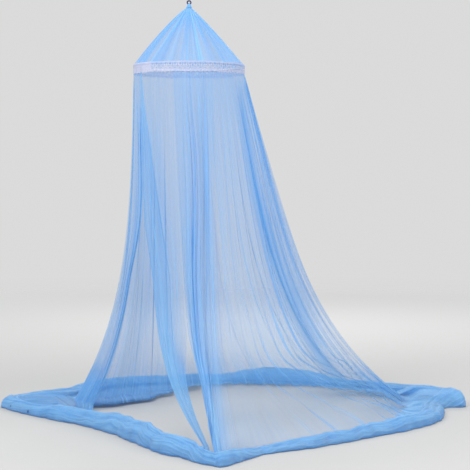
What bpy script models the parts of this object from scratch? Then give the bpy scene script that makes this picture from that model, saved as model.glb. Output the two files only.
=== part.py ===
"""Mosquito net canopy on a hoop: a gathered cone, a lace band and a full skirt with an open door.

The origin is where the ceiling hook bears on the hanging ring. +Z is up, and the front is towards -Y.
Heights below are measured up from the ground that the hem lies on.
"""

import math
from collections import namedtuple

import bmesh
import bpy

# Driving dimensions, in metres.
HANG_HEIGHT = 2.241
HOOP_OUTER_RADIUS = 0.300
HOOP_TUBE_RADIUS = 0.005
HOOP_HEIGHT = 1.885
SHEET = 0.0015
LACE_TOP = 1.896
LACE_HEIGHT = 0.056
NECK_RADIUS = 0.0125
NECK_TOP = 2.2135
CROWN_RADIUS = 0.0165
CROWN_BOTTOM = 2.203
CROWN_TOP = 2.2270
RING_RADIUS = 0.01125
RING_TUBE_RADIUS = 0.00225
FOOT_HEIGHT = 0.035
GROUND_GAP = 0.0015

# Gaps between the pieces.
SEAM_GAP = 0.0003
CASING_GAP = 0.0005
FACET_GAP = 0.0010

# Round pieces share one number of sides, so that their flats line up.
SIDES = 48
TUBE_SIDES = 8
RING_SIDES = 28
CROWN_SIDES = 24
COLUMNS_PER_WAVE = 4
SLIT_EASE = 0.28
WELD = 1e-5

# One row for each line of cloth that runs from the hoop to the hem, going round anticlockwise from above.
# hoop_deg: where it leaves the hoop. foot: where it meets the ground. hem: the hem's outer edge there.
# straight: the share of its run out that it makes evenly. bend: how late the rest comes, a power of the fall.
# roll_wide, roll_high: the bunched hem. waves, depth: the folds from this line to the next.
Line = namedtuple(
    "Line", "name hoop_deg foot_x foot_y hem_x hem_y straight bend roll_wide roll_high waves depth"
)
FIRST_NUMBER = Line._fields.index("hoop_deg")
LAST_NUMBER = Line._fields.index("roll_high")
BODY_LINES = [
    Line("bundle left", -106, 0.115, -1.200, 0.120, -1.330, 0.36, 5.0, 0.10, 0.045, 2, 0.000),
    Line("bundle right", -72, 0.160, -1.255, 0.175, -1.390, 0.34, 5.0, 0.11, 0.050, 1, 0.010),
    Line("front near", -63, 0.330, -1.090, 0.350, -1.180, 0.42, 5.0, 0.07, 0.030, 2, 0.012),
    Line("front mid", -52, 0.600, -0.920, 0.620, -1.015, 0.44, 5.0, 0.08, 0.045, 2, 0.016),
    Line("front far", -40, 0.860, -0.690, 0.900, -0.790, 0.46, 5.0, 0.09, 0.050, 2, 0.018),
    Line("corner near", -26, 1.050, -0.420, 1.190, -0.540, 0.48, 5.0, 0.11, 0.055, 2, 0.020),
    Line("right band", -11, 1.140, -0.150, 1.330, -0.260, 0.50, 5.0, 0.13, 0.075, 1, 0.018),
    Line("corner notch", -3, 1.170, 0.030, 1.410, 0.010, 0.52, 5.0, 0.12, 0.055, 1, 0.018),
    Line("right", 8, 1.200, 0.240, 1.570, 0.180, 0.56, 5.0, 0.13, 0.075, 2, 0.022),
    Line("right back", 30, 1.000, 0.480, 1.330, 0.530, 0.46, 5.0, 0.12, 0.045, 1, 0.024),
    Line("back right", 52, 0.780, 0.700, 0.940, 0.850, 0.44, 5.0, 0.12, 0.045, 1, 0.024),
    Line("back hump", 71, 0.480, 0.820, 0.560, 1.010, 0.42, 5.0, 0.12, 0.085, 2, 0.022),
    Line("back", 90, 0.200, 0.820, 0.220, 1.070, 0.38, 4.6, 0.13, 0.045, 1, 0.022),
    Line("back left", 112, -0.060, 0.600, -0.160, 1.010, 0.30, 4.2, 0.13, 0.045, 2, 0.022),
    Line("left back", 136, -0.280, 0.360, -0.520, 0.860, 0.20, 3.8, 0.13, 0.050, 1, 0.022),
    Line("left turn", 162, -0.500, 0.260, -0.800, 0.480, 0.12, 3.6, 0.12, 0.055, 1, 0.018),
    Line("left", 185, -0.640, 0.180, -1.050, 0.190, 0.10, 3.5, 0.10, 0.045, 1, 0.012),
    Line("left band", 211, -0.530, 0.000, -0.940, -0.030, 0.12, 3.6, 0.11, 0.050, 1, 0.000),
]
DOOR_HEM_LINES = [
    Line("door hem a", 211, -0.600, -0.170, -0.750, -0.240, 0.12, 3.6, 0.12, 0.060, 1, 0.000),
    Line("door hem b", 211, -0.440, -0.400, -0.550, -0.440, 0.12, 3.6, 0.13, 0.070, 1, 0.000),
    Line("door hem c", 211, -0.270, -0.610, -0.385, -0.670, 0.12, 3.6, 0.13, 0.080, 1, 0.000),
    Line("door hem d", 211, -0.140, -0.860, -0.250, -0.930, 0.12, 3.6, 0.13, 0.080, 1, 0.000),
    Line("door hem e", 211, -0.045, -1.040, -0.140, -1.130, 0.12, 3.6, 0.13, 0.075, 1, 0.000),
]
STRIP_LINES = [
    Line("strip left", 211, 0.020, -1.120, -0.030, -1.245, 0.34, 5.0, 0.12, 0.065, 1, 0.000),
    Line("strip middle", 232, 0.050, -1.145, 0.005, -1.270, 0.32, 5.0, 0.12, 0.060, 1, 0.008),
    Line("strip right", 254, 0.080, -1.165, 0.045, -1.295, 0.30, 5.0, 0.11, 0.050, 1, 0.000),
]

# How far down each door gap opens, as a share of the fall from the lace to the ground.
DOOR_OPENS = 0.34
SIDE_GAP_OPENS = 0.60

# The wall's rows, as shares of its fall, close together where it curves most.
WALL_ROWS = (0.0, 0.20, 0.40, 0.58, 0.74, 0.87, 0.95, 1.0)

# The bunched hem: steps over its roll, its greatest width as a share of the cloth on the ground, and how much
# the folds that come down to it raise and lower it.
ROLL_STEPS = 4
ROLL_SHARE = 0.9
ROLL_LIFT = 4.0

# The cone's rows, as shares of its slope, and its folds: narrow ones, and broad ones that make them uneven.
CONE_ROWS = (0.12, 0.38, 0.70, 1.0)
CONE_FOLDS = 12
CONE_FOLD_DEPTH = 0.006
CONE_SWAYS = 5
CONE_SWAY_DEPTH = 0.003
CONE_SWAY_TURN = 1.0

# The crown narrows from its shoulder to its tip: each is a radius as a share of the crown's.
CROWN_SHOULDER = 0.75
CROWN_TIP = 0.45

COLLAR_RADIUS = HOOP_OUTER_RADIUS + CASING_GAP + SHEET / 2
SEAM_HEIGHT = HOOP_HEIGHT - HOOP_TUBE_RADIUS - 2 * CASING_GAP
WALL_TOP = LACE_TOP - LACE_HEIGHT


def smooth(t):
    """An even ease from 0 to 1."""
    t = min(1.0, max(0.0, t))
    return t * t * (3 - 2 * t)


def between(rows, i, t):
    """The line t of the way from row i to the next, on a smooth curve through its neighbours."""
    before, start = rows[max(i - 1, 0)], rows[i]
    end, after = rows[i + 1], rows[min(i + 2, len(rows) - 1)]

    def curve(a, b, c, d):
        return b + 0.5 * t * (c - a + t * (2 * a - 5 * b + 4 * c - d + t * (3 * (b - c) + d - a)))

    numbers = zip(*(row[FIRST_NUMBER : LAST_NUMBER + 1] for row in (before, start, end, after)))
    depth = start.depth + (end.depth - start.depth) * t
    return Line(start.name, *(curve(*four) for four in numbers), start.waves, depth)


def columns_through(rows):
    """Columns of cloth along a run of lines, each with the phase of the folds and its place in the run."""
    columns, phase = [], 0.0
    for i, row in enumerate(rows[:-1]):
        steps = COLUMNS_PER_WAVE * row.waves
        for step in range(steps):
            t = step / steps
            columns.append((between(rows, i, t), phase + math.tau * row.waves * t, i + t))
        phase += math.tau * row.waves
    columns.append((rows[-1], phase, float(len(rows) - 1)))
    return columns


def on_hoop(degrees, radius):
    angle = math.radians(degrees)
    return radius * math.cos(angle), radius * math.sin(angle)


def hanging_point(line, share):
    """Where a line of cloth is when it has fallen this share of the way, before its folds."""
    x, y = on_hoop(line.hoop_deg, COLLAR_RADIUS)
    out = line.straight * share + (1 - line.straight) * share**line.bend
    height = WALL_TOP + (FOOT_HEIGHT - WALL_TOP) * share
    return [x + (line.foot_x - x) * out, y + (line.foot_y - y) * out, height]


def slit_pull(left, right, share, opens):
    """Half of the way from a slit's left edge to its right one, where the slit is still closed."""
    closed = 1 - smooth((share - opens) / SLIT_EASE)
    ends = hanging_point(left, share), hanging_point(right, share)
    return [closed * (b - a) / 2 for a, b in zip(*ends)]


def body_pull(place, share):
    """How the skirt's body is drawn to the door on its last stretch, and to the side gap on its first."""
    last = len(BODY_LINES) - 1
    to_door = max(0.0, place - (last - 1)) ** 2
    to_gap = max(0.0, 1 - place) ** 2
    door = slit_pull(BODY_LINES[-1], STRIP_LINES[0], share, DOOR_OPENS)
    gap = slit_pull(STRIP_LINES[-1], BODY_LINES[0], share, SIDE_GAP_OPENS)
    return [to_door * d - to_gap * g for d, g in zip(door, gap)]


def strip_pull(place, share):
    """How the strip between the door and the side gap is drawn to both."""
    door = slit_pull(BODY_LINES[-1], STRIP_LINES[0], share, DOOR_OPENS)
    gap = slit_pull(STRIP_LINES[-1], BODY_LINES[0], share, SIDE_GAP_OPENS)
    last = len(STRIP_LINES) - 1
    to_door = max(0.0, 1 - place) ** 2
    to_gap = max(0.0, place - (last - 1)) ** 2
    return [to_gap * g - to_door * d for d, g in zip(door, gap)]


def wall_rows(columns, pull):
    """The rows of a hanging wall, from its seam at the hoop to its foot, with its folds."""
    rows = []
    for share in WALL_ROWS:
        flat = [
            [p + d for p, d in zip(hanging_point(line, share), pull(place, share))]
            for line, _, place in columns
        ]
        row = []
        for i, (line, phase, _) in enumerate(columns):
            ahead, behind = flat[min(i + 1, len(flat) - 1)], flat[max(i - 1, 0)]
            along_x, along_y = ahead[0] - behind[0], ahead[1] - behind[1]
            length = math.hypot(along_x, along_y)
            fold = line.depth * smooth(2 * share) * math.sin(phase) / length
            x, y, z = flat[i]
            row.append((x + fold * along_y, y - fold * along_x, z))
        rows.append(row)
    collar = [(x, y, SEAM_HEIGHT - SEAM_GAP) for x, y, _ in rows[0]]
    return [collar, *rows]


def ground_rows(columns):
    """The cloth on the ground, from the wall's foot out and over the bunched hem to its edge."""
    rows = [[] for _ in range(ROLL_STEPS + 1)]
    for line, phase, _ in columns:
        run_x, run_y = line.hem_x - line.foot_x, line.hem_y - line.foot_y
        length = math.hypot(run_x, run_y)
        wide = min(line.roll_wide, ROLL_SHARE * length)
        high = line.roll_high * (1 + ROLL_LIFT * line.depth * math.sin(phase))
        for step in range(ROLL_STEPS + 1):
            angle = math.pi * (1 - step / ROLL_STEPS)
            along = (length - wide / 2 + wide / 2 * math.cos(angle)) / length
            height = GROUND_GAP + high * math.sin(angle)
            rows[step].append((line.foot_x + run_x * along, line.foot_y + run_y * along, height))
    return rows


def add_grid(bm, rows, close=False):
    """Faces between neighbouring rows of points, joined end to end if close is true."""
    grid = [[bm.verts.new(point) for point in row] for row in rows]
    count = len(grid[0])
    for upper, lower in zip(grid, grid[1:]):
        for i in range(count if close else count - 1):
            j = (i + 1) % count
            bm.faces.new((upper[i], lower[i], lower[j], upper[j]))


def material(name, colour, roughness):
    made = bpy.data.materials.new(name)
    made.use_nodes = True
    shader = made.node_tree.nodes["Principled BSDF"]
    shader.inputs["Base Color"].default_value = (*colour, 1.0)
    shader.inputs["Roughness"].default_value = roughness
    shader.inputs["Metallic"].default_value = 0.0
    return made


def add_object(name, bm, finish, smooth_angle=math.radians(40)):
    """One named object, moved from ground heights to heights about the hook."""
    bmesh.ops.translate(bm, verts=bm.verts, vec=(0.0, 0.0, -HANG_HEIGHT))
    mesh = bpy.data.meshes.new(name)
    bm.to_mesh(mesh)
    bm.free()
    mesh.shade_smooth()
    mesh.set_sharp_from_angle(angle=smooth_angle)
    mesh.materials.append(finish)
    made = bpy.data.objects.new(name, mesh)
    bpy.context.scene.collection.objects.link(made)
    return made


def thicken(cloth):
    """Give a sheet its thickness, half of it on each side."""
    solid = cloth.modifiers.new("thickness", "SOLIDIFY")
    solid.thickness = SHEET
    solid.offset = 0.0
    solid.use_even_offset = True


def face_outwards(bm):
    """Turn a closed body's faces outwards."""
    bmesh.ops.recalc_face_normals(bm, faces=bm.faces)
    if bm.calc_volume(signed=True) < 0:
        bmesh.ops.reverse_faces(bm, faces=bm.faces)


def add_torus(bm, height, radius, tube_radius, sides, upright):
    """A ring of round section, lying flat or standing in the XZ plane."""
    first = set(bm.verts)
    bmesh.ops.create_circle(bm, segments=TUBE_SIDES, radius=tube_radius)
    section = [v for v in bm.verts if v not in first]
    for v in section:
        v.co = (radius + v.co.x, 0.0, v.co.y)
    edges = list({e for v in section for e in v.link_edges})
    bmesh.ops.spin(
        bm, geom=section + edges, cent=(0, 0, 0), axis=(0, 0, 1), angle=math.tau, steps=sides, use_merge=True
    )
    ring = [v for v in bm.verts if v not in first]
    for v in ring:
        x, y, z = v.co
        v.co = (x, z, y + height) if upright else (x, y, z + height)
    face_outwards(bm)


def add_turned(bm, profile, sides):
    """A closed turned body from a profile of (radius, height) points that starts and ends on the axis."""
    verts = [bm.verts.new((radius, 0.0, height)) for radius, height in profile]
    edges = [bm.edges.new(pair) for pair in zip(verts, verts[1:])]
    bmesh.ops.spin(
        bm, geom=verts + edges, cent=(0, 0, 0), axis=(0, 0, 1), angle=math.tau, steps=sides, use_merge=True
    )
    bmesh.ops.remove_doubles(bm, verts=bm.verts, dist=WELD)
    face_outwards(bm)


def build_ring(finish):
    """The plastic ring that the ceiling hook takes."""
    bm = bmesh.new()
    centre = HANG_HEIGHT - RING_RADIUS + RING_TUBE_RADIUS
    add_torus(bm, centre, RING_RADIUS, RING_TUBE_RADIUS, RING_SIDES, upright=True)
    return add_object("hanging_ring", bm, finish)


def build_crown(finish):
    """The bound crown: a cup over the gathered neck, with a tunnel in its top that holds the ring."""
    inner = NECK_RADIUS + SHEET / 2 + 2 * SEAM_GAP
    roof = NECK_TOP + SEAM_GAP
    shoulder = (NECK_TOP + CROWN_TOP) / 2
    profile = [
        (0.0, roof),
        (inner, roof),
        (inner, CROWN_BOTTOM),
        (CROWN_RADIUS, CROWN_BOTTOM),
        (CROWN_RADIUS, NECK_TOP),
        (CROWN_SHOULDER * CROWN_RADIUS, shoulder),
        (CROWN_TIP * CROWN_RADIUS, CROWN_TOP),
        (0.0, CROWN_TOP),
    ]
    bm = bmesh.new()
    add_turned(bm, profile, CROWN_SIDES)
    crown = add_object("crown_binding", bm, finish)

    cutter_mesh = bmesh.new()
    centre = HANG_HEIGHT - RING_RADIUS + RING_TUBE_RADIUS
    add_torus(cutter_mesh, centre, RING_RADIUS, RING_TUBE_RADIUS + SEAM_GAP, RING_SIDES, upright=True)
    cutter = add_object("ring_tunnel_cutter", cutter_mesh, finish)
    cutter.hide_render = True
    cutter.display_type = "WIRE"
    tunnel = crown.modifiers.new("ring tunnel", "BOOLEAN")
    tunnel.operation = "DIFFERENCE"
    tunnel.solver = "EXACT"
    tunnel.object = cutter
    return crown


def build_top_net(finish):
    """The gathered cone, from the neck in the crown to the seam just below the hoop."""
    shoulder = HOOP_HEIGHT + HOOP_TUBE_RADIUS + SHEET
    slope_top = CROWN_BOTTOM - SHEET
    levels = [(NECK_RADIUS, NECK_TOP - SEAM_GAP, 0.0), (NECK_RADIUS, slope_top, 0.0)]
    for share in CONE_ROWS:
        radius = NECK_RADIUS + (COLLAR_RADIUS - NECK_RADIUS) * share
        levels.append((radius, slope_top + (shoulder - slope_top) * share, math.sin(math.pi * share)))
    levels.append((COLLAR_RADIUS, SEAM_HEIGHT, 0.0))

    rows = []
    for radius, height, folded in levels:
        row = []
        for i in range(SIDES):
            turn = math.tau * i / SIDES
            fold = CONE_FOLD_DEPTH * math.sin(CONE_FOLDS * turn)
            sway = CONE_SWAY_DEPTH * math.sin(CONE_SWAYS * turn + CONE_SWAY_TURN)
            out = radius + folded * (fold + sway)
            row.append((out * math.cos(turn), out * math.sin(turn), height))
        rows.append(row)
    bm = bmesh.new()
    add_grid(bm, rows, close=True)
    cone = add_object("top_net", bm, finish)
    thicken(cone)
    return cone


def build_hoop(finish):
    """The plain round hoop inside the casing at the cone's edge."""
    bm = bmesh.new()
    add_torus(bm, HOOP_HEIGHT, HOOP_OUTER_RADIUS - HOOP_TUBE_RADIUS, HOOP_TUBE_RADIUS, SIDES, upright=False)
    return add_object("hoop", bm, finish)


def build_lace(finish):
    """The lace band round the hoop, drawn in a little towards its lower edge."""
    radius = COLLAR_RADIUS + SHEET + FACET_GAP
    rows = []
    for share in (0.0, 0.5, 1.0):
        ring = []
        for i in range(SIDES):
            x, y = on_hoop(360 * i / SIDES, radius)
            ring.append((x, y, LACE_TOP - LACE_HEIGHT * share))
        rows.append(ring)
    bm = bmesh.new()
    add_grid(bm, rows, close=True)
    lace = add_object("lace_band", bm, finish)
    thicken(lace)
    return lace


def build_skirt(finish):
    """The skirt: one sheet from the hoop to the bunched hem, with a tall door and a narrow gap beside it."""
    body = columns_through(BODY_LINES)
    strip = columns_through(STRIP_LINES)
    door_hem = columns_through([BODY_LINES[-1], *DOOR_HEM_LINES, STRIP_LINES[0]])[1:-1]
    gap_hem = columns_through([STRIP_LINES[-1], BODY_LINES[0]])[1:-1]
    body_wall, strip_wall = wall_rows(body, body_pull), wall_rows(strip, strip_pull)
    door_sill = [(line.foot_x, line.foot_y, GROUND_GAP) for line, _, _ in door_hem]
    gap_sill = [(line.foot_x, line.foot_y, GROUND_GAP) for line, _, _ in gap_hem]
    inner_edge = [*body_wall[-1], *door_sill, *strip_wall[-1], *gap_sill]
    hem = ground_rows([*body, *door_hem, *strip, *gap_hem])
    bm = bmesh.new()
    add_grid(bm, body_wall)
    add_grid(bm, strip_wall)
    add_grid(bm, [inner_edge, *hem], close=True)
    bmesh.ops.remove_doubles(bm, verts=bm.verts, dist=WELD)
    bmesh.ops.recalc_face_normals(bm, faces=bm.faces)
    skirt = add_object("skirt_net", bm, finish)
    thicken(skirt)
    return skirt


def main():
    for old in list(bpy.data.objects):
        bpy.data.objects.remove(old)
    net_blue = (0.14, 0.40, 0.78)
    build_ring(material("navy plastic", (0.03, 0.06, 0.16), 0.35))
    build_crown(material("blue binding", (0.10, 0.32, 0.70), 0.80))
    build_top_net(material("blue cone net", net_blue, 0.85))
    build_hoop(material("white hoop", (0.80, 0.80, 0.82), 0.40))
    build_lace(material("white lace", (0.86, 0.84, 0.88), 0.85))
    build_skirt(material("blue skirt net", net_blue, 0.85))


main()
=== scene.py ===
# %% [markdown]
# # A mosquito net canopy on a hoop
# The real thing is sewn from very little: net gathered to a point, a round hoop in a casing, a band of
# lace, and metres of net gathered on below it. Its look comes from how many layers of sheer cloth lie one
# behind another, so this lesson is mostly about folds, and about a material that grows denser where cloth
# bunches. The frame, made in CAD, gives the main sizes and places.

import math
from collections import namedtuple

import bmesh
import bpy
import numpy as np
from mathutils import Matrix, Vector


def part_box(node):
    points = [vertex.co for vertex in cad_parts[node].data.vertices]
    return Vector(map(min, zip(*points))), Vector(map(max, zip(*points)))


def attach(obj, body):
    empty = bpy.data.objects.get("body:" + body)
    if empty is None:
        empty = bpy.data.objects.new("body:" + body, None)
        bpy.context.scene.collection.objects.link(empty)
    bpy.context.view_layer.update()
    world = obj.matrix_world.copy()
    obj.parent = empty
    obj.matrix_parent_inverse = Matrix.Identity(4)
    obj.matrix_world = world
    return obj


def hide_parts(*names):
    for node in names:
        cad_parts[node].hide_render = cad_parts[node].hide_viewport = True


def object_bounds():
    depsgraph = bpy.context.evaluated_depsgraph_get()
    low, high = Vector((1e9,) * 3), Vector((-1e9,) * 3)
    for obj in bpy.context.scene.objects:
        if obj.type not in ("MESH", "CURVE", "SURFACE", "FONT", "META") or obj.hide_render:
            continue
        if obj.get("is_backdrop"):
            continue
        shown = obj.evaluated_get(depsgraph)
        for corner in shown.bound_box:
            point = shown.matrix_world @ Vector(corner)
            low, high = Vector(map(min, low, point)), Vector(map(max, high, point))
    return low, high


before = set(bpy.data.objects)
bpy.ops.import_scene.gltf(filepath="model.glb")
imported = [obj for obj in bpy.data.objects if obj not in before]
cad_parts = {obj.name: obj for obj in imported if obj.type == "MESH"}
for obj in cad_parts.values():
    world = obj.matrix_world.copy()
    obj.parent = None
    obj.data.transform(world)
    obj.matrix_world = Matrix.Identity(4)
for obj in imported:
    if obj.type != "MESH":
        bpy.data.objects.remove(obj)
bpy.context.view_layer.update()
ring_low, ring_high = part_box("hanging_ring")
crown_low, crown_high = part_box("crown_binding")
hoop_low, hoop_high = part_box("hoop")
lace_low, lace_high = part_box("lace_band")
cone_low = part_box("top_net")[0]


def short(value):
    return round(float(value), 3)


def table(kind, *rows):
    """A list of named rows."""
    return [kind(*row) for row in rows]


# %% [markdown]
# ## Heights and radii
# The origin is where the ceiling hook bears on the ring, so everything hangs below zero. The casing is a
# little wider than the hoop, and the wall ends a little above the ground, where the cloth turns outwards.

# %% Heights and radii
SHEET = 0.0015
CASING_EASE = 0.0005
GROUND = -2.241
FOOT_LIFT = 0.035
HOOP_RADIUS = hoop_high.x
TUBE_RADIUS = (hoop_high.z - hoop_low.z) / 2
HOOP_HEIGHT = (hoop_high.z + hoop_low.z) / 2
COLLAR_RADIUS = HOOP_RADIUS + CASING_EASE + SHEET / 2
LACE_TOP, LACE_FOOT = lace_high.z, lace_low.z
LACE_WIDTH = LACE_TOP - LACE_FOOT
SEAM = cone_low.z
FOOT = GROUND + FOOT_LIFT
print("hoop radius", short(HOOP_RADIUS), "height", short(HOOP_HEIGHT), "lace", short(LACE_WIDTH))

# %% [markdown]
# ## Lines of cloth
# A hanging skirt is easiest to describe by lines of cloth that run from the hoop to the hem. Each row says
# where a line leaves the hoop, meets the ground and ends at the hem, how it curves on the way (an even
# part, and one that comes late), how big the bunched hem is, how many folds and columns of mesh there are
# to the next line, and how bunched the cloth lies.

# %% The skirt's lines
WHERE = "name hoop_deg foot_x foot_y hem_x hem_y"
Line = namedtuple("Line", WHERE + " straight bend roll_wide roll_high waves depth columns lying")
BODY_LINES = table(
    Line,
    ("bundle left", -106, 0.115, -1.2, 0.118, -1.425, 0.5, 4, 0.1, 0.045, 2, 0, 110, 7),
    ("bundle right", -72, 0.16, -1.255, 0.175, -1.415, 0.34, 5.4, 0.11, 0.05, 1, 0.01, 40, 5),
    ("front near", -63, 0.33, -1.09, 0.35, -1.18, 0.42, 5, 0.07, 0.03, 2, 0.012, 48, 2),
    ("front mid", -52, 0.6, -0.92, 0.62, -1.015, 0.44, 5, 0.08, 0.045, 2, 0.016, 52, 1.6),
    ("front far", -40, 0.86, -0.69, 0.9, -0.79, 0.46, 5, 0.09, 0.05, 2, 0.018, 64, 1.8),
    ("corner near", -26, 1.05, -0.42, 1.19, -0.54, 0.48, 5, 0.11, 0.055, 2, 0.02, 70, 4),
    ("right band", -11, 1.14, -0.15, 1.35, -0.29, 0.5, 5, 0.13, 0.052, 1, 0.018, 34, 8),
    ("corner notch", -3, 1.17, 0.03, 1.41, 0.01, 0.52, 4.7, 0.12, 0.04, 1, 0.018, 34, 8),
    ("right", 8, 1.2, 0.24, 1.545, 0.1, 0.56, 4.6, 0.13, 0.088, 2, 0.022, 54, 7),
    ("right back", 30, 1, 0.48, 1.33, 0.53, 0.46, 5, 0.12, 0.045, 1, 0.024, 44, 4.5),
    ("back right", 52, 0.78, 0.7, 0.94, 0.85, 0.44, 5, 0.12, 0.045, 1, 0.024, 44, 4),
    ("back hump", 71, 0.48, 0.82, 0.56, 1.01, 0.42, 5, 0.12, 0.085, 2, 0.022, 40, 5),
    ("back", 90, 0.2, 0.82, 0.22, 1.07, 0.38, 4.6, 0.13, 0.045, 1, 0.022, 42, 6),
    ("back left", 112, -0.06, 0.6, -0.16, 1.01, 0.3, 4.2, 0.13, 0.045, 2, 0.022, 46, 7),
    ("left back", 136, -0.28, 0.36, -0.52, 0.86, 0.2, 3.8, 0.13, 0.05, 1, 0.022, 40, 7),
    ("left turn", 162, -0.5, 0.26, -0.8, 0.48, 0.12, 3.6, 0.12, 0.055, 1, 0.018, 40, 5.5),
    ("left", 185, -0.64, 0.18, -1.05, 0.19, 0.1, 3.5, 0.11, 0.06, 1, 0.012, 60, 4.5),
    ("left band", 211, -0.53, 0, -0.94, -0.03, 0.12, 3.6, 0.11, 0.05, 1, 0, 12, 8),
)
DOOR_HEM_LINES = table(
    Line,
    ("door hem a", 211, -0.6, -0.17, -0.75, -0.24, 0.12, 3.6, 0.12, 0.06, 1, 0, 12, 8),
    ("door hem b", 211, -0.44, -0.4, -0.55, -0.44, 0.12, 3.6, 0.13, 0.07, 1, 0, 14, 7),
    ("door hem c", 211, -0.27, -0.61, -0.385, -0.67, 0.12, 3.6, 0.13, 0.08, 1, 0, 14, 8),
    ("door hem d", 211, -0.14, -0.86, -0.25, -0.93, 0.12, 3.6, 0.13, 0.08, 1, 0, 12, 8),
    ("door hem e", 211, -0.045, -1.04, -0.14, -1.13, 0.12, 3.6, 0.13, 0.075, 1, 0, 10, 8),
)
STRIP_LINES = table(
    Line,
    ("strip left", 211, 0.064, -1.128, -0.03, -1.25, 0.34, 8.7, 0.12, 0.065, 1, 0, 44, 7),
    ("strip middle", 232, 0.079, -1.146, 0.005, -1.3, 0.32, 9.7, 0.12, 0.06, 1, 0.008, 44, 7),
    ("strip right", 254, 0.095, -1.163, 0.045, -1.355, 0.3, 13, 0.11, 0.05, 1, 0, 8, 7),
)
print(len(BODY_LINES), "lines round the body,", len(STRIP_LINES), "down the strip beside the door")

# %% [markdown]
# ## The two slits
# The door and the narrow gap on the strip's other side are slits in one sheet of net. Each is closed above,
# starts to open some way down, and is fully open a little lower.

# %% The two slits
Slit = namedtuple("Slit", "opens ease")
DOOR = Slit(0.34, 0.28)
SIDE_GAP = Slit(0.72, 0.16)
print("the door opens", DOOR.opens, "of the way down, the narrow gap beside it", SIDE_GAP.opens)

# %% [markdown]
# ## Reading between the lines
# A smooth curve through the rows (Catmull-Rom) gives every number at any place between two lines, for whole
# arrays of places at once.

# %% Numbers between the lines
NUMBERS = [f for f in Line._fields if f not in ("name", "waves", "columns")]


def soft_step(t):
    """An even ease from 0 to 1."""
    t = np.clip(t, 0.0, 1.0)
    return t * t * (3 - 2 * t)


def numbers_at(lines, place):
    """Each number of the lines at an array of places, as a dictionary of arrays."""
    rows = np.array([[getattr(line, name) for name in NUMBERS] for line in lines], float)
    first = np.clip(np.floor(place).astype(int), 0, len(lines) - 2)
    t = (place - first)[..., None]
    a, b, c, d = (rows[np.clip(first + step, 0, len(lines) - 1)] for step in (-1, 0, 1, 2))
    values = b + 0.5 * t * (c - a + t * (2 * a - 5 * b + 4 * c - d + t * (3 * (b - c) + d - a)))
    return {name: values[..., i] for i, name in enumerate(NUMBERS)}


def places_along(lines):
    """A place for each column of mesh along a run of lines, its last line included."""
    places = [i + k / line.columns for i, line in enumerate(lines[:-1]) for k in range(line.columns)]
    return np.array([*places, len(lines) - 1.0])


def hang(numbers, share):
    """Where cloth is at a share of the way down from the lace to the ground."""
    angle = np.radians(numbers["hoop_deg"])
    x, y = COLLAR_RADIUS * np.cos(angle), COLLAR_RADIUS * np.sin(angle)
    out = numbers["straight"] * share + (1 - numbers["straight"]) * share ** numbers["bend"]
    z = LACE_FOOT + (FOOT - LACE_FOOT) * share
    return np.stack([x + (numbers["foot_x"] - x) * out, y + (numbers["foot_y"] - y) * out, z + 0 * x], -1)


body_places = places_along(BODY_LINES)
strip_places = places_along(STRIP_LINES)
print("columns:", len(body_places), "round the body,", len(strip_places), "down the strip")

# %% [markdown]
# ## Ripples
# Gathered cloth is never even, and never quite random. A sum of a few whole numbers of waves round the net
# gives soft ripples that join up where they meet, and that are the same in each run.

# %% Ripples
def ripple(turn, counts, seed, lean=0.0):
    """Uneven waves of about -1 to 1. turn is the way round, and lean moves the waves along it."""
    draw = np.random.default_rng(seed)
    total = 0.0
    for count in counts:
        total = total + np.sin(math.tau * (count * (turn + lean * draw.uniform(-1, 1)) + draw.random()))
    return total / math.sqrt(len(counts))


print("a ripple runs from", short(ripple(np.linspace(0, 1, 400), (3, 5, 8), 1).min()))

# %% [markdown]
# ## How full the cloth is
# The skirt is cut wider than the hoop and flares to a wider hem still, so all of it is gathered. Each
# column of mesh stands for a fixed width of flat cloth, and where the columns lie closer together than
# that, the net is denser by as much.

# %% Fullness
TOP_FULLNESS, HEM_FULLNESS = 2.0, 4.2


def fullness_at(share):
    return TOP_FULLNESS + (HEM_FULLNESS - TOP_FULLNESS) * share


def sewn_width(lines, places):
    """The hoop's arc that each column of mesh is sewn to, in metres."""
    degrees = numbers_at(lines, places)["hoop_deg"]
    return np.abs(np.gradient(np.radians(degrees))) * COLLAR_RADIUS


# %% [markdown]
# ## Crowding
# In the bundle and beside the door the cloth is crowded to one side, and near the ground the front is swept
# towards the right corner. So columns are moved along the lines, but never past each other.

# %% Crowding round the body
SWEEP, SWEEP_FROM, SWEEP_TO = 1.90, 1.1, 7.8
SWEEP_STARTS, SWEEP_POWER = 0.77, 1.5
BUNDLE_CROWDS, BAND_CROWDS = 0.35, 0.9


def crowd_body(places, share):
    """Columns crowded in the bundle and at the door's left edge, and swept near the ground."""
    moved = np.broadcast_to(places, (len(share), len(places))).copy()
    hard = 1 + BUNDLE_CROWDS * soft_step(share / 0.3) * (1 - soft_step((share - 0.35) / 0.3))
    bundle = places < 1
    moved[:, bundle] = 1 - (1 - places[bundle]) ** hard
    start = len(BODY_LINES) - 2
    band = places > start
    moved[:, band] = start + 1 - (start + 1 - places[band]) ** (1 + BAND_CROWDS * soft_step(share / 0.2))
    swept = np.sin(math.pi * np.clip((places - SWEEP_FROM) / (SWEEP_TO - SWEEP_FROM), 0, 1)) ** 2
    return moved + SWEEP * swept * soft_step((share - SWEEP_STARTS) / (1 - SWEEP_STARTS)) ** SWEEP_POWER


at_ground = crowd_body(body_places, np.array([[1.0]]))
closest = short(1000 * np.diff(at_ground).min())
print("at the ground the closest columns are", closest, "thousandths of a line apart")

# %% [markdown]
# ## The strip's ribbon
# The strip is a ribbon of crowded cloth at its left edge, with a sheer part on its right. The table says
# how much of the width the ribbon takes on the way down.

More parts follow.
